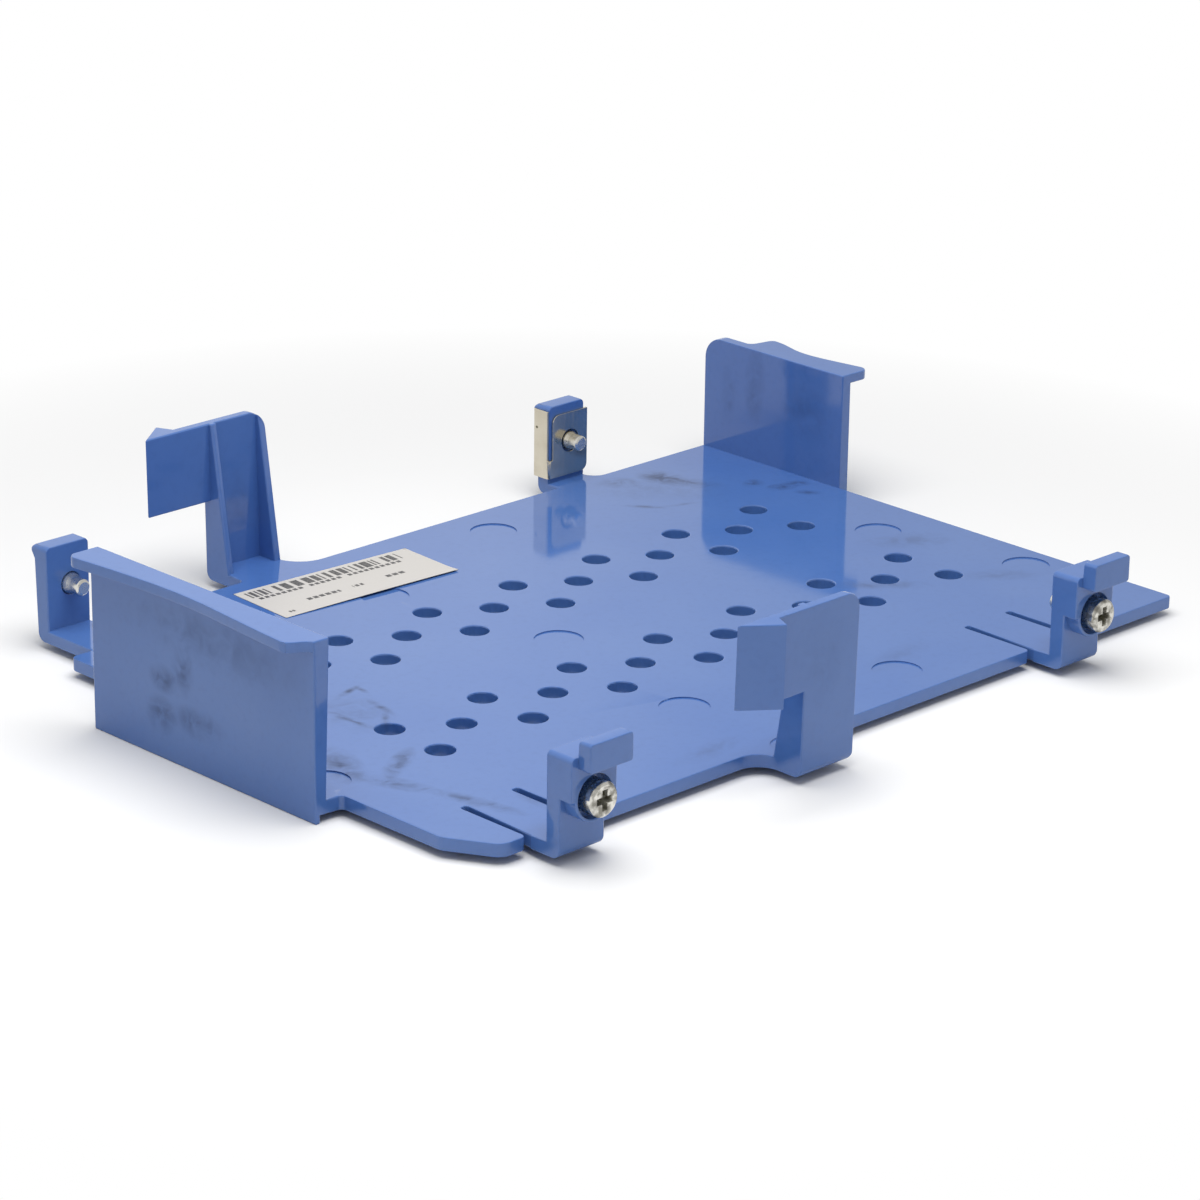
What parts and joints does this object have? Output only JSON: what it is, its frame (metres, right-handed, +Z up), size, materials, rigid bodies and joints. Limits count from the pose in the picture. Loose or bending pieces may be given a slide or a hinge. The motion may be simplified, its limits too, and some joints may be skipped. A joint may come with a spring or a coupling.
{
  "type": "hard drive caddy",
  "caption": "Snap-in plastic tray for a 3.5 inch drive, with sprung pin posts, latch arms, end walls with finger lips and a vented floor.",
  "frame": {"origin": "on the floor's underside, midway between the four drive pins' stations along X and on the tray's middle line along Y", "axes": "+X along the drive's length towards the end with the short wall, +Y from the side with the thumb flags to the far side, +Z up out of the tray"},
  "size_m": [0.1582, 0.123, 0.0263],
  "materials": {
    "blue_plastic": "moulded ABS-like plastic, semi-gloss, lightly scuffed",
    "plated_steel": "nickel or zinc plated steel",
    "spring_steel": "bright rolled spring steel strip",
    "label_paper": "coated paper label, off-white"
  },
  "bodies": {
    "root": {"tray": "blue_plastic", "pin_screw_near_left": "plated_steel", "pin_screw_near_right": "plated_steel", "pin_screw_far_left": "plated_steel", "pin_screw_far_right": "plated_steel", "contact_clip": "spring_steel", "label": "label_paper"}
  },
  "joints": []
}
